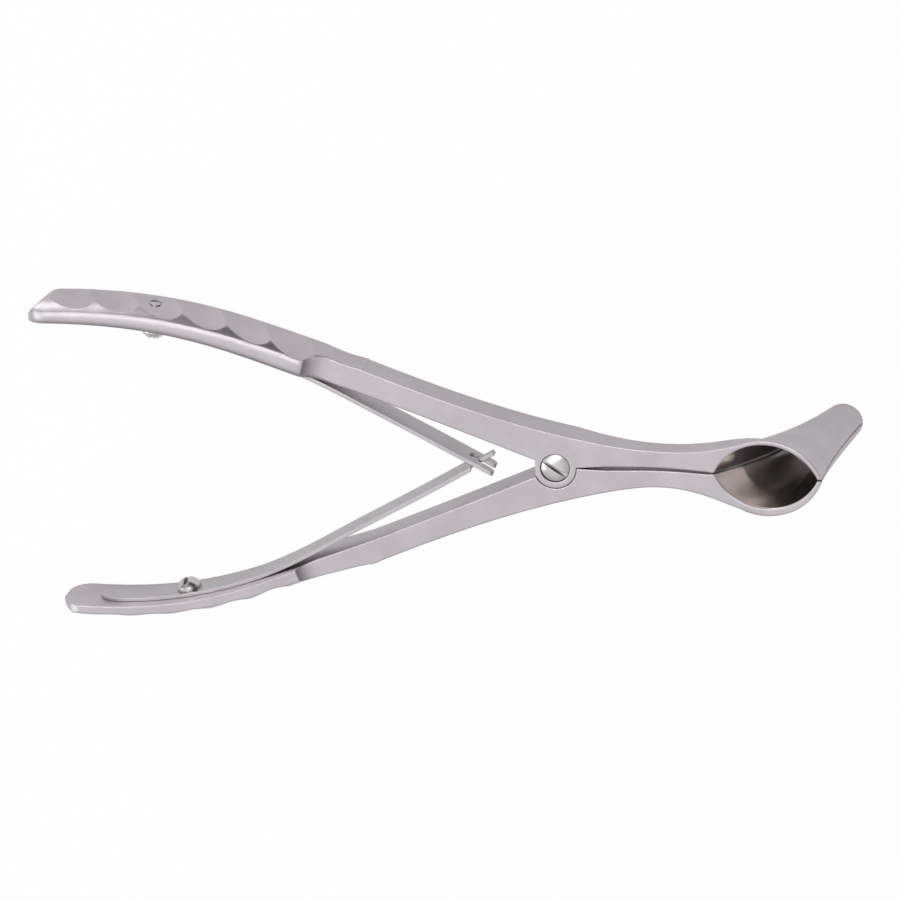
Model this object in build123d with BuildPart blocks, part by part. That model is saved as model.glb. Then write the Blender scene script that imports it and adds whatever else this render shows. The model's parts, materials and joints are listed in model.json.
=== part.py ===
from build123d import *
import math
import os

os.makedirs("parts", exist_ok=True)

# Nasal speculum, millimetres.
# It is drawn flat: pivot axis on Z, front faces of the shanks at Z = 0,
# blades towards +X, upper arm on +Y. At the end it is laid down as it rests.

# Shanks and neck
SHANK_DEPTH = 6.5
MID_Z = -SHANK_DEPTH / 2
SHANK_WIDTH = 4.65
SHANK_END_X = -37.0
SHANK_END_Y = 15.35
NECK_DEPTH = 4.3
NECK_X = 18.0
NECK_HALF = 3.65
CROTCH_X = -3.8
CROTCH_Y = 1.7
SLIT_WIDTH = 0.75
SLIT_WIDEST_X = 9.5
SLIT_START = 0.12
BLADE_GAP = 0.3

# Lap joint
DISC_RADIUS = 4.0
DISC_CLEARANCE = 0.1
LAP_CLEARANCE = 0.06
HEAD_RADIUS = 2.7
HEAD_CLEARANCE = 0.1
HEAD_SEAT = 1.3
HEAD_RISE = 0.45
HEAD_RIM_DROP = 0.2
PIVOT_RADIUS = 1.5
RUNNING_CLEARANCE = 0.03
THREAD_BITE = 0.02
PIVOT_SLOT = 0.75
PIVOT_SLOT_DEPTH = 0.7
PIVOT_SLOT_TURN = -36.0

# Grips
GRIP_WIDTH = 10.8
UPPER_START_SIDE = 3.3
UPPER_START_CROWN = 5.6
UPPER_END_SIDE = 2.1
UPPER_END_CROWN = 5.0
LOWER_START_SIDE = 2.3
LOWER_START_CROWN = 3.85
LOWER_END_SIDE = 1.5
LOWER_END_CROWN = 3.35
GRIP_END_X = -100.8
UPPER_END_Y = 30.1
LOWER_END_Y = 28.6
GRIP_END_RADIUS = 4.2
NOSE_LENGTH = 7.0
NOSE_TRIM = 0.4
NOSE_DROP = 0.6
NOSE_ROUND = 0.6
SCOOP_RADIUS = 6.5
UPPER_SCOOP_X = -42.5
LOWER_SCOOP_X = -47.3

# Finger hollows
HOLLOW_RADIUS = 7.5
HOLLOW_DEPTH = 0.95
HOLLOW_PITCH = 8.36
HOLLOW_FROM_END = 6.9
HOLLOW_SLANT = 32.0
UPPER_HOLLOW_TILT = 12.0
LOWER_HOLLOW_TILT = 8.0
UPPER_HOLLOWS = 6
LOWER_HOLLOWS = 5

# Half-funnel blades: back and front seam points in the XZ plane, and half heights
MOUTH_BACK = (29.7, 2.3)
MOUTH_FRONT = (49.0, 5.6)
MOUTH_HEIGHT = 6.3
WAIST_BACK = (39.4, -7.6)
WAIST_FRONT = (50.8, -5.0)
WAIST_HEIGHT = 4.7
WAIST_SHARE = 0.4
FUNNEL_STEPS = 5
TIP_BACK = (50.6, -26.7)
TIP_FRONT = (56.4, -25.6)
TIP_HEIGHT = 2.8
BLADE_WALL = 0.8
UPPER_RIM_WALL = 0.8
LOWER_RIM_WALL = 1.4

# Leaf springs
SPRING_WIDTH = 6.0
SPRING_THICKNESS = 0.75
SPRING_TAIL = 18.7
SPRING_TAPER = 5.5
UPPER_SPRING_SEAT = 26.0
LOWER_SPRING_SEAT = 12.0
FORK_SLOT = 2.4
FORK_DEPTH = 5.0
TONGUE_WIDTH = 1.6
TONGUE_LENGTH = 4.4
SPRING_TIP_X = -11.8

# Spring screws
UPPER_SCREW_FROM_END = 24.5
LOWER_SCREW_FROM_END = 25.9
SPRING_HEAD_RADIUS = 2.4
SPRING_HEAD_HEIGHT = 2.2
SPRING_HEAD_RIM = 0.6
SPRING_HEAD_LIFT = 0.03
SPRING_SCREW_RADIUS = 1.2
UPPER_SCREW_LENGTH = 4.9
LOWER_SCREW_LENGTH = 3.3
SPRING_HOLE_CLEARANCE = 0.1
SPRING_SLOT = 0.9
SPRING_SLOT_DEPTH = 0.8


def dome_radius(half_width, height):
    """Radius of a dome that is level at its top."""
    return (half_width**2 + height**2) / (2 * height)


def plan_points(side, points):
    return [(x, side * y) for x, y in points]


def inner_line(side):
    """Inner face of the grip in plan, from the shank to the grip end."""
    end_y = UPPER_END_Y if side > 0 else LOWER_END_Y
    drift = end_y - 29.35
    with BuildLine() as line:
        Spline(
            *plan_points(
                side,
                [
                    (SHANK_END_X, SHANK_END_Y),
                    (-52.0, 20.9),
                    (-64.0, 25.2),
                    (-77.0, 28.25 + 0.12 * drift),
                    (-90.0, 29.45 + 0.48 * drift),
                    (GRIP_END_X, end_y),
                ],
            )
        )
    return line.line.edges()[0]


def station(path, from_end):
    """Place on the inner line at a distance from the grip end, from 0 to 1."""
    return 1 - from_end / path.length


def bar_section(path, place, side, width, flank, crown):
    """Cross-section of the bar: flat inside, crowned outside."""
    point = path @ place
    half = width / 2
    across = Plane(origin=(point.X, point.Y, MID_Z), x_dir=(0, 0, 1), z_dir=path % place)
    with BuildSketch(across) as section:
        with BuildLine():
            Line((-half, 0), (half, 0))
            Line((half, 0), (half, side * flank))
            ThreePointArc((half, side * flank), (0, side * crown), (-half, side * flank))
            Line((-half, side * flank), (-half, 0))
        make_face()
    return section.sketch


def grip(side, scoop_x, hollows):
    """Finger grip along the inner line, hollowed on its outer face."""
    path = inner_line(side)
    start = (SHANK_END_X - scoop_x + SCOOP_RADIUS / 2) / abs((path % 0).X) / path.length
    start_side = UPPER_START_SIDE if side > 0 else LOWER_START_SIDE
    start_crown = UPPER_START_CROWN if side > 0 else LOWER_START_CROWN
    end_side = UPPER_END_SIDE if side > 0 else LOWER_END_SIDE
    end_crown = UPPER_END_CROWN if side > 0 else LOWER_END_CROWN
    shank_face = bar_section(path, 0, side, SHANK_DEPTH, SHANK_WIDTH - 0.02, SHANK_WIDTH)
    start_face = bar_section(path, start, side, GRIP_WIDTH, start_side, start_crown)
    end_face = bar_section(path, 1, side, GRIP_WIDTH, end_side, end_crown)
    spine = path.trim(start, 1).moved(Pos(0, 0, MID_Z))
    lean = path % 0
    with BuildPart() as bar:
        sweep(sections=[start_face.face(), end_face.face()], path=spine, multisection=True)
        # rounded end, seen from the side
        with BuildSketch(Plane.XZ):
            with Locations(((GRIP_END_X + 0.05) / 2, MID_Z)):
                RectangleRounded(-GRIP_END_X - 0.05, GRIP_WIDTH + 0.02, radius=GRIP_END_RADIUS)
        extrude(amount=60, both=True, mode=Mode.INTERSECT)
        # rounded nose, seen from above
        nose_y = abs((path @ 1).Y) - NOSE_DROP
        nose_height = end_crown + NOSE_DROP - NOSE_TRIM
        nose_top = nose_y + nose_height
        back_x = GRIP_END_X + NOSE_LENGTH
        small = NOSE_ROUND * nose_height
        large = (NOSE_LENGTH**2 + nose_height**2 - 2 * NOSE_LENGTH * small) / (2 * (nose_height - small))
        turn = small / (large - small)
        meet_x = GRIP_END_X + small - (NOSE_LENGTH - small) * turn
        meet_y = nose_y + (large - nose_height) * turn
        with BuildSketch(Plane.XY):
            with BuildLine():
                RadiusArc((GRIP_END_X, side * nose_y), (meet_x, side * meet_y), side * small)
                RadiusArc((meet_x, side * meet_y), (back_x, side * nose_top), side * large)
                Polyline(
                    (back_x, side * nose_top),
                    (back_x, side * (nose_top + 2)),
                    (GRIP_END_X - 2, side * (nose_top + 2)),
                    (GRIP_END_X - 2, side * nose_y),
                    (GRIP_END_X, side * nose_y),
                )
            make_face()
        extrude(amount=60, both=True, mode=Mode.SUBTRACT)
        # finger hollows, set aslant and deeper towards the front
        tilt = UPPER_HOLLOW_TILT if side > 0 else LOWER_HOLLOW_TILT
        for number in range(hollows):
            place = station(path, HOLLOW_FROM_END + number * HOLLOW_PITCH)
            point = path @ place
            along = path % place
            crown = start_crown + (end_crown - start_crown) * place
            outward = Vector(side * along.Y, -side * along.X, 0)
            centre = Vector(point.X, point.Y, MID_Z) + outward * (crown - HOLLOW_DEPTH + HOLLOW_RADIUS)
            axis = Vector(0, 0, 1) - along * math.tan(math.radians(HOLLOW_SLANT))
            axis = axis - outward * math.tan(math.radians(tilt))
            with Locations(Plane(origin=centre, x_dir=outward.cross(axis), z_dir=axis)):
                Cylinder(HOLLOW_RADIUS, 3 * GRIP_WIDTH, mode=Mode.SUBTRACT)
        # the bar narrows to the shank, with a scooped step on the front
        loft(sections=[start_face.face(), shank_face.face()], ruled=True)
        with BuildSketch(Plane(origin=(scoop_x, side * 19.0, 0), x_dir=-lean, z_dir=(-lean.Y, lean.X, 0))):
            with Locations((0, SCOOP_RADIUS)):
                Circle(SCOOP_RADIUS)
            with Locations((10, SCOOP_RADIUS)):
                Rectangle(20, 2 * SCOOP_RADIUS)
        extrude(amount=20, both=True, mode=Mode.SUBTRACT)
    return bar.part


def section_plane(side, back, front):
    """Plane across the funnel through a back and a front seam point."""
    run = math.hypot(front[0] - back[0], front[1] - back[1])
    ux = (front[0] - back[0]) / run
    uz = (front[1] - back[1]) / run
    middle = ((front[0] + back[0]) / 2, 0, (front[1] + back[1]) / 2)
    return Plane(origin=middle, x_dir=(ux, 0, uz), z_dir=(-uz * side, 0, ux * side))


def funnel_section(side, back, front, height, wall, rim):
    """One cross-section of half the funnel, grown outwards by its wall."""
    half = math.hypot(front[0] - back[0], front[1] - back[1]) / 2 + wall
    with BuildSketch(section_plane(side, back, front)) as section:
        with BuildLine():
            ThreePointArc((-half, 0), (0, height + rim), (half, 0))
            Polyline((half, 0), (half, -1.0), (-half, -1.0), (-half, 0))
        make_face()
    return section.sketch


def three_way(share, mouth, waist, tip):
    """Value at a share of the way down the curve through mouth, waist and tip."""
    from_mouth = mouth * (1 - share) * (1 - share / WAIST_SHARE)
    from_waist = waist * share * (1 - share) / (WAIST_SHARE * (1 - WAIST_SHARE))
    from_tip = tip * share * (share - WAIST_SHARE) / (1 - WAIST_SHARE)
    return from_mouth + from_waist + from_tip


def funnel(side, wall, rim, reach):
    """Half the funnel as a solid, its ends drawn out straight by a reach."""
    sections = []
    for number in range(FUNNEL_STEPS + 1):
        share = number / FUNNEL_STEPS
        back = [three_way(share, *values) for values in zip(MOUTH_BACK, WAIST_BACK, TIP_BACK)]
        front = [three_way(share, *values) for values in zip(MOUTH_FRONT, WAIST_FRONT, TIP_FRONT)]
        height = three_way(share, MOUTH_HEIGHT, WAIST_HEIGHT, TIP_HEIGHT)
        thick = wall + (rim - wall) * (1 - share) ** 3
        sections.append(funnel_section(side, back, front, height, wall, thick).face())
    with BuildPart() as body:
        loft(sections=sections, ruled=True)
        if reach > 0:
            extrude(to_extrude=sections[0], amount=reach * side)
            extrude(to_extrude=sections[-1], amount=-reach * side)
    return body.part


def arm(side, scoop_x, hollows):
    """One arm from grip to blade tip, before its half of the joint is cut."""
    bar = grip(side, scoop_x, hollows)
    rim_wall = UPPER_RIM_WALL if side > 0 else LOWER_RIM_WALL
    slim = LOWER_RIM_WALL - rim_wall
    shell = funnel(side, BLADE_WALL, rim_wall, 0)
    bore = funnel(side, 0, 0, 4.0)
    rise = (MOUTH_FRONT[1] - MOUTH_BACK[1]) / (MOUTH_FRONT[0] - MOUTH_BACK[0])
    rim_x = (MOUTH_BACK[0] + MOUTH_FRONT[0]) / 2
    rim_z = MOUTH_BACK[1] + rise * (rim_x - MOUTH_BACK[0])
    lean = inner_line(side) % 0
    outer_y = SHANK_END_Y + SHANK_WIDTH / abs(lean.X)
    with BuildPart() as body:
        with BuildSketch(Plane.XY.offset(-2 * SHANK_DEPTH)):
            with BuildLine():
                outer = Spline(
                    *plan_points(
                        side,
                        [
                            (SHANK_END_X, outer_y),
                            (-25.0, 15.3),
                            (-7.0, 8.95),
                            (6.5, 5.4),
                            (NECK_X, NECK_HALF),
                            (29.0, 4.75 - slim / 2),
                            (34.0, 6.4 - slim),
                            (rim_x + 1, MOUTH_HEIGHT + rim_wall),
                        ],
                    )
                )
                Polyline(
                    outer @ 1,
                    (rim_x + 1, side * BLADE_GAP / 2),
                    (SLIT_WIDEST_X, side * SLIT_WIDTH / 2),
                    (DISC_RADIUS, side * SLIT_START / 2),
                    (0, side * SLIT_START / 2),
                    (CROTCH_X, side * CROTCH_Y),
                )
                inner = Spline(
                    *plan_points(side, [(CROTCH_X, CROTCH_Y), (-22.0, 9.3), (SHANK_END_X, SHANK_END_Y)]),
                )
                Line(inner @ 1, outer @ 0)
            make_face()
        extrude(amount=5 * SHANK_DEPTH)
        # side view: the neck thins, and its front face rises to the mouth
        with BuildSketch(Plane.XZ):
            with BuildLine():
                top = Line((-60, 0), (NECK_X - 2, 0))
                front = Spline(top @ 1, MOUTH_BACK, (rim_x + 1, rim_z + rise), tangents=[(1, 0), (1, rise)])
                lip = Line(front @ 1, (rim_x + 1, rim_z + rise - BLADE_WALL))
                Spline(lip @ 1, (29.5, -2.2), (NECK_X, -NECK_DEPTH), (4.0, -SHANK_DEPTH))
                Polyline((4.0, -SHANK_DEPTH), (-60, -SHANK_DEPTH), (-60, 0))
            make_face()
        extrude(amount=60, both=True, mode=Mode.INTERSECT)
        add(bar)
        add(shell)
        add(bore, mode=Mode.SUBTRACT)
        # flat parting face between the two blades
        beyond = Align.MAX if side > 0 else Align.MIN
        with Locations((NECK_X, side * BLADE_GAP / 2, 0)):
            Box(100, 40, 120, align=(Align.MIN, beyond, Align.CENTER), mode=Mode.SUBTRACT)
    return body.part


def spring(side, screw_from_end, seat, free_points):
    """Leaf spring: from its free tip to the grip, then seated along the grip to its tail."""
    path = inner_line(side)
    tail = station(path, screw_from_end - SPRING_TAIL)
    leave = station(path, screw_from_end + seat)
    with BuildLine() as face_line:
        Spline(
            *plan_points(side, free_points),
            path @ leave,
            tangents=[(-1, side * 0.57), path % leave],
        )
        add(path.trim(leave, tail))
    spine = face_line.wires()[0]
    tail_x = (spine @ 1).X
    with BuildPart() as leaf:
        with BuildSketch(Plane(origin=spine @ 0, x_dir=(0, 0, 1), z_dir=spine % 0)):
            with Locations((MID_Z, -side * SPRING_THICKNESS / 2)):
                Rectangle(SPRING_WIDTH, SPRING_THICKNESS)
        sweep(path=spine)
        # tail drawn to a rounded point
        with BuildSketch(Plane.XZ):
            with Locations((tail_x + SPRING_TAPER, MID_Z)):
                Ellipse(SPRING_TAPER, SPRING_WIDTH / 2)
                Rectangle(150, SPRING_WIDTH + 0.02, align=(Align.MIN, Align.CENTER))
        extrude(amount=60, both=True, mode=Mode.INTERSECT)
    return leaf.part


def screw_plane(side, from_end):
    """Seat of a spring screw: on the grip's inner face, Z towards the gap."""
    path = inner_line(side)
    place = station(path, from_end)
    point = path @ place
    along = path % place
    return Plane(
        origin=(point.X, point.Y, MID_Z),
        x_dir=(along.X, along.Y, 0),
        z_dir=(-side * along.Y, side * along.X, 0),
    )


def spring_screw(seat, length):
    """Screw with a rounded slotted head, seated on the spring."""
    under = SPRING_THICKNESS + SPRING_HEAD_LIFT
    top = under + SPRING_HEAD_HEIGHT
    shoulder = under + SPRING_HEAD_RIM
    dome = dome_radius(SPRING_HEAD_RADIUS, top - shoulder)
    with BuildPart() as screw:
        with BuildSketch(Plane(origin=seat.origin, x_dir=seat.x_dir, z_dir=-seat.y_dir)):
            with BuildLine():
                Polyline(
                    (0, top),
                    (0, under - length),
                    (SPRING_SCREW_RADIUS, under - length),
                    (SPRING_SCREW_RADIUS, under),
                    (SPRING_HEAD_RADIUS, under),
                    (SPRING_HEAD_RADIUS, shoulder),
                )
                RadiusArc((SPRING_HEAD_RADIUS, shoulder), (0, top), -dome)
            make_face()
        revolve(axis=Axis(seat.origin, seat.z_dir))
        with Locations(seat.offset(top)):
            Box(SPRING_SLOT, 4 * SPRING_HEAD_RADIUS, 2 * SPRING_SLOT_DEPTH, mode=Mode.SUBTRACT)
    return screw.part


upper_blank = arm(1, UPPER_SCOOP_X, UPPER_HOLLOWS)
lower_blank = arm(-1, LOWER_SCOOP_X, LOWER_HOLLOWS)
upper_seat = screw_plane(1, UPPER_SCREW_FROM_END)
lower_seat = screw_plane(-1, LOWER_SCREW_FROM_END)
upper_free = [(SPRING_TIP_X, -1.1), (-25.6, 6.9), (-36.7, 13.2)]
lower_free = [(SPRING_TIP_X, -1.7), (-26.4, 6.5), (-41.1, 14.4)]
upper_leaf = spring(1, UPPER_SCREW_FROM_END, UPPER_SPRING_SEAT, upper_free)
lower_leaf = spring(-1, LOWER_SCREW_FROM_END, LOWER_SPRING_SEAT, lower_free)

# Upper arm: its disc is the front half of the lap joint
with BuildPart() as upper_arm:
    add(upper_blank)
    with Locations((0, 0, MID_Z + LAP_CLEARANCE / 2)):
        Cylinder(
            DISC_RADIUS + DISC_CLEARANCE,
            2 * SHANK_DEPTH,
            align=(Align.CENTER, Align.CENTER, Align.MAX),
            mode=Mode.SUBTRACT,
        )
    with BuildSketch(Plane.XY.offset(MID_Z + LAP_CLEARANCE / 2)):
        Circle(DISC_RADIUS)
        with Locations((CROTCH_X - DISC_RADIUS, 0)):
            Rectangle(2 * DISC_RADIUS, 2 * DISC_RADIUS, mode=Mode.SUBTRACT)
    extrude(amount=-MID_Z - LAP_CLEARANCE / 2)
    with Locations((0, 0, -HEAD_SEAT)):
        Cylinder(
            HEAD_RADIUS + HEAD_CLEARANCE,
            10,
            align=(Align.CENTER, Align.CENTER, Align.MIN),
            mode=Mode.SUBTRACT,
        )
    Cylinder(PIVOT_RADIUS + RUNNING_CLEARANCE, 20, mode=Mode.SUBTRACT)
    with Locations(upper_seat):
        Cylinder(SPRING_SCREW_RADIUS - THREAD_BITE, 30, mode=Mode.SUBTRACT)

# Lower arm: its disc is the back half, tapped for the pivot screw
with BuildPart() as lower_arm:
    add(lower_blank)
    with Locations((0, 0, MID_Z - LAP_CLEARANCE / 2)):
        Cylinder(
            DISC_RADIUS + DISC_CLEARANCE,
            2 * SHANK_DEPTH,
            align=(Align.CENTER, Align.CENTER, Align.MIN),
            mode=Mode.SUBTRACT,
        )
    with BuildSketch(Plane.XY.offset(-SHANK_DEPTH)):
        Circle(DISC_RADIUS)
        with Locations((CROTCH_X - DISC_RADIUS, 0)):
            Rectangle(2 * DISC_RADIUS, 2 * DISC_RADIUS, mode=Mode.SUBTRACT)
    extrude(amount=SHANK_DEPTH + MID_Z - LAP_CLEARANCE / 2)
    Cylinder(PIVOT_RADIUS - THREAD_BITE, 30, mode=Mode.SUBTRACT)
    with Locations(lower_seat):
        Cylinder(SPRING_SCREW_RADIUS - THREAD_BITE, 30, mode=Mode.SUBTRACT)

# Pivot screw: domed slotted head in the recess of the upper disc
with BuildPart() as pivot_screw:
    with BuildSketch(Plane.XZ):
        with BuildLine():
            under = -HEAD_SEAT + RUNNING_CLEARANCE
            dome = dome_radius(HEAD_RADIUS, HEAD_RISE + HEAD_RIM_DROP)
            Polyline(
                (0, HEAD_RISE),
                (0, -SHANK_DEPTH + 0.15),
                (PIVOT_RADIUS, -SHANK_DEPTH + 0.15),
                (PIVOT_RADIUS, under),
                (HEAD_RADIUS, under),
                (HEAD_RADIUS, -HEAD_RIM_DROP),
            )
            RadiusArc((HEAD_RADIUS, -HEAD_RIM_DROP), (0, HEAD_RISE), -dome)
        make_face()
    revolve(axis=Axis.Z)
    with Locations(Plane(origin=(0, 0, HEAD_RISE)).rotated((0, 0, PIVOT_SLOT_TURN))):
        Box(4 * HEAD_RADIUS, PIVOT_SLOT, 2 * PIVOT_SLOT_DEPTH, mode=Mode.SUBTRACT)

# Upper spring: its tip is forked
with BuildPart() as upper_spring:
    add(upper_leaf)
    with BuildSketch(Plane.XZ):
        with Locations((SPRING_TIP_X, MID_Z)):
            SlotOverall(2 * FORK_DEPTH, FORK_SLOT)
    extrude(amount=20, both=True, mode=Mode.SUBTRACT)
    prong = (SPRING_WIDTH - FORK_SLOT) / 4
    with BuildSketch(Plane.XZ):
        with Locations((SPRING_TIP_X - prong, MID_Z)):
            Rectangle(150, 2 * SPRING_WIDTH, align=(Align.MAX, Align.CENTER))
            with Locations((0, SPRING_WIDTH / 2 - prong), (0, prong - SPRING_WIDTH / 2)):
                Circle(prong)
    extrude(amount=60, both=True, mode=Mode.INTERSECT)
    with Locations(upper_seat):
        Cylinder(SPRING_SCREW_RADIUS + SPRING_HOLE_CLEARANCE, 6, mode=Mode.SUBTRACT)

# Lower spring: its tip narrows to a tongue that passes up through the fork
with BuildPart() as lower_spring:
    add(lower_leaf)
    with BuildSketch(Plane.XZ):
        with Locations((SPRING_TIP_X, MID_Z)):
            Rectangle(2 * TONGUE_LENGTH, 2 * SPRING_WIDTH)
            Rectangle(2 * TONGUE_LENGTH, TONGUE_WIDTH, mode=Mode.SUBTRACT)
    extrude(amount=20, both=True, mode=Mode.SUBTRACT)
    with Locations(lower_seat):
        Cylinder(SPRING_SCREW_RADIUS + SPRING_HOLE_CLEARANCE, 6, mode=Mode.SUBTRACT)

# Spring screws: slotted round heads on the springs, tips in the grips
with BuildPart() as upper_spring_screw:
    add(spring_screw(upper_seat, UPPER_SCREW_LENGTH))

with BuildPart() as lower_spring_screw:
    add(spring_screw(lower_seat, LOWER_SCREW_LENGTH))

# At rest it lies on the blade tips and on the back edges of the grip ends
grip_x = GRIP_END_X + GRIP_END_RADIUS
grip_z = MID_Z - GRIP_WIDTH / 2
rest_tilt = math.degrees(math.atan2(grip_z - TIP_BACK[1], TIP_BACK[0] - grip_x))
tilted = Rot(0, -rest_tilt, 0)
nodes = [upper_arm, lower_arm, pivot_screw, upper_spring, lower_spring, upper_spring_screw, lower_spring_screw]
box = Compound(children=[tilted * node.part for node in nodes]).bounding_box()
rest = Pos(-box.center().X, -box.center().Y, -box.min.Z) * tilted

upper_arm.part = rest * upper_arm.part
lower_arm.part = rest * lower_arm.part
pivot_screw.part = rest * pivot_screw.part
upper_spring.part = rest * upper_spring.part
lower_spring.part = rest * lower_spring.part
upper_spring_screw.part = rest * upper_spring_screw.part
lower_spring_screw.part = rest * lower_spring_screw.part

upper_arm.part.label = "upper_arm"
export_step(upper_arm.part, "parts/upper_arm.step")
lower_arm.part.label = "lower_arm"
export_step(lower_arm.part, "parts/lower_arm.step")
pivot_screw.part.label = "pivot_screw"
export_step(pivot_screw.part, "parts/pivot_screw.step")
upper_spring.part.label = "upper_spring"
export_step(upper_spring.part, "parts/upper_spring.step")
lower_spring.part.label = "lower_spring"
export_step(lower_spring.part, "parts/lower_spring.step")
upper_spring_screw.part.label = "upper_spring_screw"
export_step(upper_spring_screw.part, "parts/upper_spring_screw.step")
lower_spring_screw.part.label = "lower_spring_screw"
export_step(lower_spring_screw.part, "parts/lower_spring_screw.step")
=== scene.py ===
import json
import math

import bmesh
import bpy
from mathutils import Euler, Matrix, Vector


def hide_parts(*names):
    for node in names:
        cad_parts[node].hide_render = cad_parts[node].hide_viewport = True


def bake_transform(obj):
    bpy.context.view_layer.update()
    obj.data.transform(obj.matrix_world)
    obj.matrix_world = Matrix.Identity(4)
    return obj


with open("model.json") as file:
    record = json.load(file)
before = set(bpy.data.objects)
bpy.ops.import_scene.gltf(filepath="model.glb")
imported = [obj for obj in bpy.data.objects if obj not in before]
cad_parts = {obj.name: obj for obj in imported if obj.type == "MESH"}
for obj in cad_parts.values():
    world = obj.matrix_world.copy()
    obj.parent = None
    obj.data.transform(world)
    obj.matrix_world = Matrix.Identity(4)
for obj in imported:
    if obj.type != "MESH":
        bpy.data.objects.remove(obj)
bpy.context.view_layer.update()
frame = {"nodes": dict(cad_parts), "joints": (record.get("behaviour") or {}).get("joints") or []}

MM = 0.001

# Instrument frame: origin on the pivot axis,
# X towards the blades, Y towards the upper arm, Z along the pivot to the front.
# Places in this frame are in millimetres.
hinge = frame["joints"][0]
PIVOT = Vector(hinge["pos_m"])
AXIS_Z = Vector(hinge["axis"]).normalized()
AXIS_Y = Vector((0, 1, 0))
AXIS_X = AXIS_Y.cross(AXIS_Z)


def at(x, y, z):
    """Row-frame point, in metres, of a point in the instrument frame, in millimetres."""
    return PIVOT + (AXIS_X * x + AXIS_Y * y + AXIS_Z * z) * MM


# Camera, as in the photograph
IMAGE_WIDTH = 900
FOCAL_PIXELS = 2279.0
SENSOR_WIDTH = 36.0
CAMERA_PLACE = (55.9, 154.8, 397.256)
CAMERA_TURN_DEG = (-21.101, 9.499, -3.477)
CLIP_START = 0.01
CLIP_END = 20.0


def make_camera():
    data = bpy.data.cameras.new("photo_camera")
    data.sensor_fit = "HORIZONTAL"
    data.sensor_width = SENSOR_WIDTH
    data.lens = FOCAL_PIXELS / IMAGE_WIDTH * SENSOR_WIDTH
    data.clip_start = CLIP_START
    data.clip_end = CLIP_END
    camera = bpy.data.objects.new("photo_camera", data)
    instrument = Matrix((AXIS_X, AXIS_Y, AXIS_Z)).transposed()
    turn = instrument @ Euler([math.radians(angle) for angle in CAMERA_TURN_DEG]).to_matrix()
    camera.matrix_world = Matrix.Translation(at(*CAMERA_PLACE)) @ turn.to_4x4()
    bpy.context.scene.collection.objects.link(camera)
    bpy.context.scene.camera = camera


# Node trees

OFF_TO_ON = (0.0, 1.0)
ON_TO_OFF = (1.0, 0.0)


class Nodes:
    """Short calls for making a node tree: a new material's, or the one given."""

    def __init__(self, name=None, tree=None):
        if name:
            self.material = bpy.data.materials.new(name)
            self.material.use_nodes = True
            tree = self.material.node_tree
        self.tree = tree
        self.tree.nodes.clear()

    def new(self, kind, **values):
        node = self.tree.nodes.new(kind)
        for key, value in values.items():
            setattr(node, key, value)
        return node

    def link(self, a, b):
        self.tree.links.new(a, b)

    def put(self, value, socket):
        """Link a socket's output, or set a plain value."""
        if isinstance(value, bpy.types.NodeSocket):
            self.link(value, socket)
        else:
            socket.default_value = value

    def math(self, operation, a, b):
        node = self.new("ShaderNodeMath", operation=operation)
        self.put(a, node.inputs[0])
        self.put(b, node.inputs[1])
        return node.outputs[0]

    def vector(self, operation, a, b=None):
        node = self.new("ShaderNodeVectorMath", operation=operation)
        self.put(a, node.inputs[0])
        if b is not None:
            self.put(b, node.inputs["Scale"] if operation == "SCALE" else node.inputs[1])
        return node.outputs["Value" if operation in ("DOT_PRODUCT", "LENGTH") else "Vector"]

    def ramp(self, value, span, to=OFF_TO_ON, smooth=False):
        """Map a span of values, held at its ends, to another span."""
        node = self.new("ShaderNodeMapRange")
        node.interpolation_type = "SMOOTHSTEP" if smooth else "LINEAR"
        self.put(value, node.inputs["Value"])
        node.inputs["From Min"].default_value, node.inputs["From Max"].default_value = span
        node.inputs["To Min"].default_value, node.inputs["To Max"].default_value = to
        return node.outputs["Result"]

    def mix_colour(self, share, a, b):
        node = self.new("ShaderNodeMix", data_type="RGBA")
        first, second = (socket for socket in node.inputs if socket.type == "RGBA")
        self.put(share, node.inputs["Factor"])
        for value, socket in ((a, first), (b, second)):
            self.put((*value, 1) if isinstance(value, tuple) else value, socket)
        return next(socket for socket in node.outputs if socket.type == "RGBA")

    def mix_value(self, share, a, b):
        node = self.new("ShaderNodeMix", data_type="FLOAT")
        self.put(share, node.inputs["Factor"])
        self.put(a, node.inputs["A"])
        self.put(b, node.inputs["B"])
        return node.outputs["Result"]

    def noise(self, place, scale, detail, roughness):
        node = self.new("ShaderNodeTexNoise")
        self.link(place, node.inputs["Vector"])
        node.inputs["Scale"].default_value = scale
        node.inputs["Detail"].default_value = detail
        node.inputs["Roughness"].default_value = roughness
        return node.outputs["Fac"]

    def surface(self, shader, output_kind):
        out = self.new(output_kind)
        self.link(shader.outputs[0], out.inputs["Surface"])


def paint(obj, material):
    obj.data.materials.clear()
    obj.data.materials.append(material)


# Steel: faint clouding, a fine grain along X, painted shade that darkens crevices, and softened edges.
# Noise scales are per metre.
CLOUD_SCALE = 140.0
CLOUD_DETAIL = 2.0
CLOUD_ROUGHNESS = 0.55
CLOUD_SPAN = (0.35, 0.65)
GRAIN_SCALE = 3800.0
GRAIN_DETAIL = 3.0
GRAIN_ROUGHNESS = 0.6
GRAIN_STRETCH = (0.25, 1.0, 1.0)
GRAIN_SPAN = (0.3, 0.7)
GRAIN_HEIGHT = 0.01
CLOUD_SHARE = 0.7
GRAIN_SHARE = 0.3
# Painted shade in crevices: the dark colour, and the occlusion span over which it takes over
CREVICE_PAINTED_SHADE = (0.06, 0.055, 0.055)
CREVICE_SHADE_SPAN = (0.3, 0.7)
SHADE_SAMPLES = 8
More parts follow.
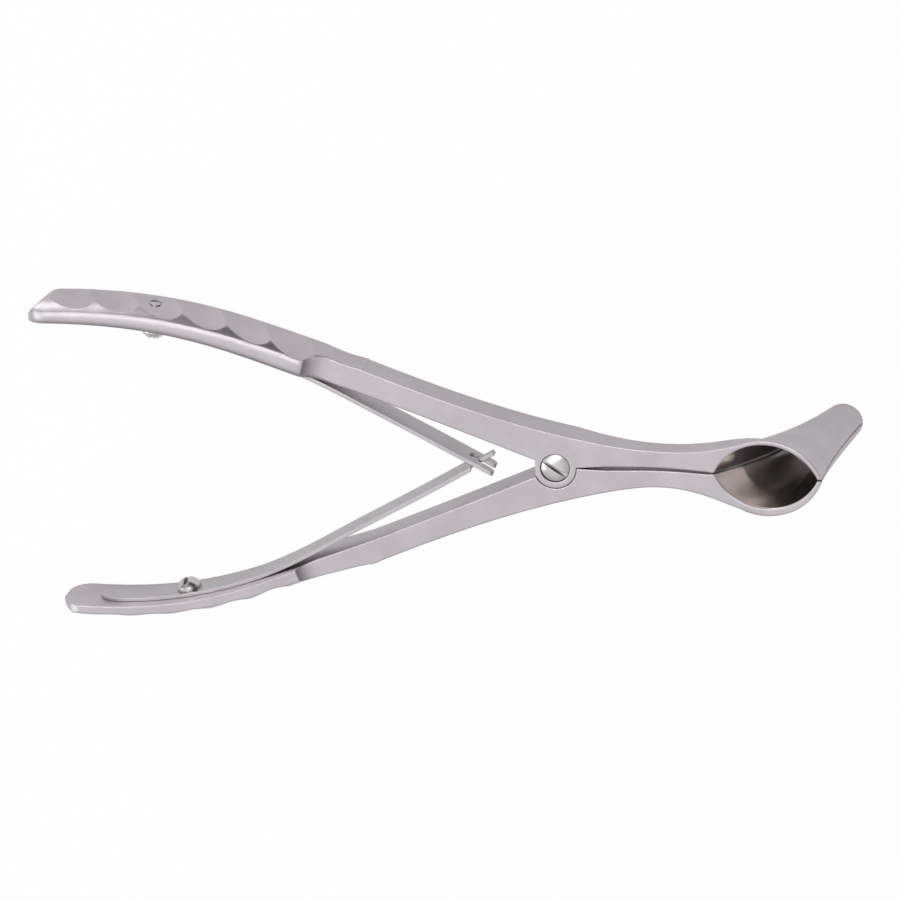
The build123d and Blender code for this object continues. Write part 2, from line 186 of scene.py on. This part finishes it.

# Inside of the funnel: polished, with a rounder rim, and a lighter colour than the outside steel, which
# is painted light brightening the deep inside.
# Its axis runs from the middle of the mouth to the middle of the tip.
FUNNEL_MOUTH = (39.65, 0.0, 4.0)
FUNNEL_TIP = (53.4, 0.0, -26.15)
FUNNEL_FACING = (0.55, 0.7)
FUNNEL_REACH = (10.5 * MM, 11.5 * MM)
INSIDE_LIT_DARK = (0.85, 0.81, 0.79)
INSIDE_LIT_LIGHT = (0.91, 0.87, 0.855)
POLISHED_ROUGH = (0.14, 0.20)
RIM_EDGE = 0.9

# Front flank of the upper grip: rounder edges, from the end of the scoop outwards
FLANK_EDGE = 2.0
GRIP_ALONG_X = (-47.0 * MM, -40.0 * MM)
UPPER_ALONG_Y = (2.0 * MM, 6.0 * MM)
FLANK_FACING = (0.75, 0.85)


def object_normal(n):
    return n.new("ShaderNodeTexCoord").outputs["Normal"]


def funnel_inside(n, place):
    """1 on the faces that look towards the funnel's axis, 0 elsewhere."""
    mouth = at(*FUNNEL_MOUTH)
    axis = (at(*FUNNEL_TIP) - mouth).normalized()
    offset = n.vector("SUBTRACT", tuple(mouth), place)
    drop = n.vector("DOT_PRODUCT", offset, tuple(axis))
    sideways = n.vector("SUBTRACT", offset, n.vector("SCALE", tuple(axis), drop))
    facing = n.vector("DOT_PRODUCT", object_normal(n), n.vector("NORMALIZE", sideways))
    looks_in = n.ramp(facing, FUNNEL_FACING, smooth=True)
    in_reach = n.ramp(n.vector("LENGTH", sideways), FUNNEL_REACH, ON_TO_OFF)
    return n.math("MULTIPLY", looks_in, in_reach)


def upper_flank(n, place):
    """1 on the front flank of the upper grip, 0 elsewhere."""
    offset = n.vector("SUBTRACT", place, tuple(PIVOT))
    on_grip = n.ramp(n.vector("DOT_PRODUCT", offset, tuple(AXIS_X)), GRIP_ALONG_X, ON_TO_OFF, smooth=True)
    on_upper = n.ramp(n.vector("DOT_PRODUCT", offset, tuple(AXIS_Y)), UPPER_ALONG_Y)
    on_front = n.ramp(n.vector("DOT_PRODUCT", object_normal(n), tuple(AXIS_Z)), FLANK_FACING)
    return n.math("MULTIPLY", on_grip, n.math("MULTIPLY", on_upper, on_front))


def steel(name, dark, light, rough_span, edge, grain_strength, painted_shade_depth, arm=False):
    """Steel with edges rounded by edge mm, and painted shade darkening its crevices to the given depth in
    mm.
    """
    n = Nodes(name)
    place = n.new("ShaderNodeTexCoord").outputs["Object"]
    stretch = n.new("ShaderNodeMapping")
    n.link(place, stretch.inputs["Vector"])
    stretch.inputs["Scale"].default_value = GRAIN_STRETCH
    cloud = n.noise(place, CLOUD_SCALE, CLOUD_DETAIL, CLOUD_ROUGHNESS)
    grain = n.noise(stretch.outputs["Vector"], GRAIN_SCALE, GRAIN_DETAIL, GRAIN_ROUGHNESS)
    tone = n.math("ADD", n.math("MULTIPLY", cloud, CLOUD_SHARE), n.math("MULTIPLY", grain, GRAIN_SHARE))
    colour = n.mix_colour(n.ramp(tone, CLOUD_SPAN), dark, light)
    rough = n.ramp(grain, GRAIN_SPAN, rough_span)
    radius = edge * MM

    if arm:
        inside = funnel_inside(n, place)
        # Painted light: the inside takes a lighter colour than the outside steel; its smoother finish is
        # real
        polished_lit = n.mix_colour(n.ramp(cloud, CLOUD_SPAN), INSIDE_LIT_DARK, INSIDE_LIT_LIGHT)
        colour = n.mix_colour(inside, colour, polished_lit)
        rough = n.mix_value(inside, rough, n.ramp(grain, GRAIN_SPAN, POLISHED_ROUGH))
        radius = n.mix_value(upper_flank(n, place), radius, FLANK_EDGE * MM)
        radius = n.mix_value(inside, radius, RIM_EDGE * MM)

    # Painted shade: ambient occlusion darkens crevices and recesses towards the dark colour
    painted_crevice_shade = n.new("ShaderNodeAmbientOcclusion", samples=SHADE_SAMPLES)
    painted_crevice_shade.inputs["Distance"].default_value = painted_shade_depth * MM
    colour = n.mix_colour(n.ramp(painted_crevice_shade.outputs["AO"], CREVICE_SHADE_SPAN), CREVICE_PAINTED_SHADE, colour)

    rounded = n.new("ShaderNodeBevel", samples=SHADE_SAMPLES)
    n.put(radius, rounded.inputs["Radius"])
    bump = n.new("ShaderNodeBump")
    bump.inputs["Strength"].default_value = grain_strength
    bump.inputs["Distance"].default_value = GRAIN_HEIGHT * MM
    n.link(grain, bump.inputs["Height"])
    n.link(rounded.outputs["Normal"], bump.inputs["Normal"])

    shader = n.new("ShaderNodeBsdfPrincipled")
    n.link(colour, shader.inputs["Base Color"])
    n.link(rough, shader.inputs["Roughness"])
    n.link(bump.outputs["Normal"], shader.inputs["Normal"])
    shader.inputs["Metallic"].default_value = 1.0
    n.surface(shader, "ShaderNodeOutputMaterial")
    return n.material


satin = steel(
    "satin_steel", (0.615, 0.57, 0.59), (0.695, 0.65, 0.67), (0.28, 0.37),
    edge=0.45, grain_strength=0.10, painted_shade_depth=0.5, arm=True,
)
leaf = steel(
    "leaf_steel", (0.62, 0.59, 0.60), (0.69, 0.66, 0.67), (0.30, 0.40),
    edge=0.22, grain_strength=0.10, painted_shade_depth=0.5,
)
# Screws: painted shade reaches deeper, darkening the slots
bright = steel(
    "bright_steel", (0.68, 0.65, 0.635), (0.76, 0.735, 0.72), (0.18, 0.26),
    edge=0.04, grain_strength=0.02, painted_shade_depth=1.6,
)

for node in ("upper_arm", "lower_arm"):
    paint(frame["nodes"][node], satin)
for node in ("pivot_screw", "upper_spring_screw", "lower_spring_screw"):
    paint(frame["nodes"][node], bright)


# Leaf springs: the solids' own shape, cut into short lengths along X
SLICE = 1.1
FIRST_SLICE_BACK = 1.0
MERGE_DISTANCE = 1e-7
SHARP_ANGLE_DEG = 30

# Where each spring leaves its grip, and where its free end is
UPPER_LEAVE = (-51.5, 20.6, -3.25)
UPPER_TIP = (-11.8, -1.1, -3.25)
LOWER_LEAVE = (-63.0, -24.8, -3.25)
LOWER_TIP = (-11.8, 1.7, -3.25)


def sliced_copy(node, name, first, last):
    """Copy of a node's mesh, cut across every SLICE mm from first to last along X."""
    mesh = frame["nodes"][node].data.copy()
    mesh.name = name
    cut = bmesh.new()
    cut.from_mesh(mesh)
    bmesh.ops.remove_doubles(cut, verts=cut.verts, dist=MERGE_DISTANCE)
    x = first
    while x < last:
        parts = cut.verts[:] + cut.edges[:] + cut.faces[:]
        bmesh.ops.bisect_plane(cut, geom=parts, plane_co=at(x, 0, 0), plane_no=AXIS_X)
        x += SLICE
    cut.to_mesh(mesh)
    cut.free()
    if "custom_normal" in mesh.attributes:
        mesh.attributes.remove(mesh.attributes["custom_normal"])
    mesh.shade_smooth()
    mesh.set_sharp_from_angle(angle=math.radians(SHARP_ANGLE_DEG))
    return mesh


def leaf_spring(node, name, leave, tip):
    """Copy of a spring's mesh, cut across from where it leaves its grip to its free end, shown in place
    of the spring, which is hidden.
    """
    mesh = sliced_copy(node, name, leave[0] - FIRST_SLICE_BACK, tip[0])
    spring = bpy.data.objects.new(name, mesh)
    bpy.context.scene.collection.objects.link(spring)
    paint(spring, leaf)
    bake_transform(spring)
    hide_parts(node)


leaf_spring("upper_spring", "upper_leaf", UPPER_LEAVE, UPPER_TIP)
leaf_spring("lower_spring", "lower_leaf", LOWER_LEAVE, LOWER_TIP)


# Floor: white to the camera, and partly so in reflections
FLOOR_HALF = 3.0
FLOOR_DROP = 0.02
FLOOR_COLOUR = (0.82, 0.82, 0.83, 1)
CAMERA_GLOW = 0.97
MIRRORED_GLOW = 0.2


def make_floor():
    mesh = bpy.data.meshes.new("floor")
    corners = [(x * FLOOR_HALF, y * FLOOR_HALF, 0) for x, y in ((-1, -1), (1, -1), (1, 1), (-1, 1))]
    mesh.from_pydata(corners, [], [(0, 1, 2, 3)])
    floor = bpy.data.objects.new("floor", mesh)
    floor.location.z = -FLOOR_DROP * MM
    bpy.context.scene.collection.objects.link(floor)
    n = Nodes("white_table")
    path = n.new("ShaderNodeLightPath")
    paper = n.new("ShaderNodeBsdfDiffuse")
    paper.inputs["Color"].default_value = FLOOR_COLOUR
    glow = n.new("ShaderNodeEmission")
    glow.inputs["Strength"].default_value = 1.0
    seen = n.math("MULTIPLY", path.outputs["Is Camera Ray"], CAMERA_GLOW)
    mirrored = n.math("MAXIMUM", path.outputs["Is Glossy Ray"], path.outputs["Is Transmission Ray"])
    mix = n.new("ShaderNodeMixShader")
    n.link(n.math("MAXIMUM", seen, n.math("MULTIPLY", mirrored, MIRRORED_GLOW)), mix.inputs["Fac"])
    n.link(paper.outputs[0], mix.inputs[1])
    n.link(glow.outputs[0], mix.inputs[2])
    n.surface(mix, "ShaderNodeOutputMaterial")
    paint(floor, n.material)


# Studio: brightest above, brighter on the left and in front, dim at the horizon and at the back
SKY_COLOUR = (0.97, 0.97, 1.0, 1)
SKY_HEIGHTS = (-0.1, 1.0)
SKY_CURVE = 1.5
SKY_ABOVE = 0.70
SKY_EVEN = 0.12
SKY_LEFT = 0.22
SKY_FRONT = 0.20
SKY_LEAST = 0.03


def make_world():
    world = bpy.data.worlds.new("studio")
    bpy.context.scene.world = world
    world.use_nodes = True
    n = Nodes(tree=world.node_tree)
    split = n.new("ShaderNodeSeparateXYZ")
    n.link(n.new("ShaderNodeTexCoord").outputs["Generated"], split.inputs[0])
    height = n.ramp(split.outputs["Z"], SKY_HEIGHTS)
    above = n.math("MULTIPLY", n.math("POWER", height, SKY_CURVE), SKY_ABOVE)
    left = n.math("MULTIPLY", split.outputs["X"], -SKY_LEFT)
    front = n.math("MULTIPLY", split.outputs["Y"], -SKY_FRONT)
    level = n.math("ADD", n.math("ADD", above, SKY_EVEN), n.math("ADD", left, front))
    back = n.new("ShaderNodeBackground")
    back.inputs["Color"].default_value = SKY_COLOUR
    n.link(n.math("MAXIMUM", level, SKY_LEAST), back.inputs["Strength"])
    n.surface(back, "ShaderNodeOutputWorld")


# Softboxes, aimed at the object: metres and watts
LAMP_AIM = Vector((0, 0, 0.02))


def softbox(name, place, width, height, watts):
    data = bpy.data.lights.new(name, "AREA")
    data.shape = "RECTANGLE"
    data.size = width
    data.size_y = height
    data.energy = watts
    lamp = bpy.data.objects.new(name, data)
    lamp.location = place
    lamp.rotation_euler = (LAMP_AIM - Vector(place)).to_track_quat("-Z", "Y").to_euler()
    bpy.context.scene.collection.objects.link(lamp)


make_camera()
make_floor()
make_world()
softbox("overhead", (-0.16, 0.29, 0.8), width=0.9, height=0.28, watts=1.5)
softbox("left_side", (-0.75, -0.1, 0.35), width=0.6, height=0.5, watts=1.0)
softbox("back_left", (-0.45, 0.8, 0.17), width=0.45, height=0.32, watts=1.0)

bpy.context.scene.view_settings.view_transform = "Standard"
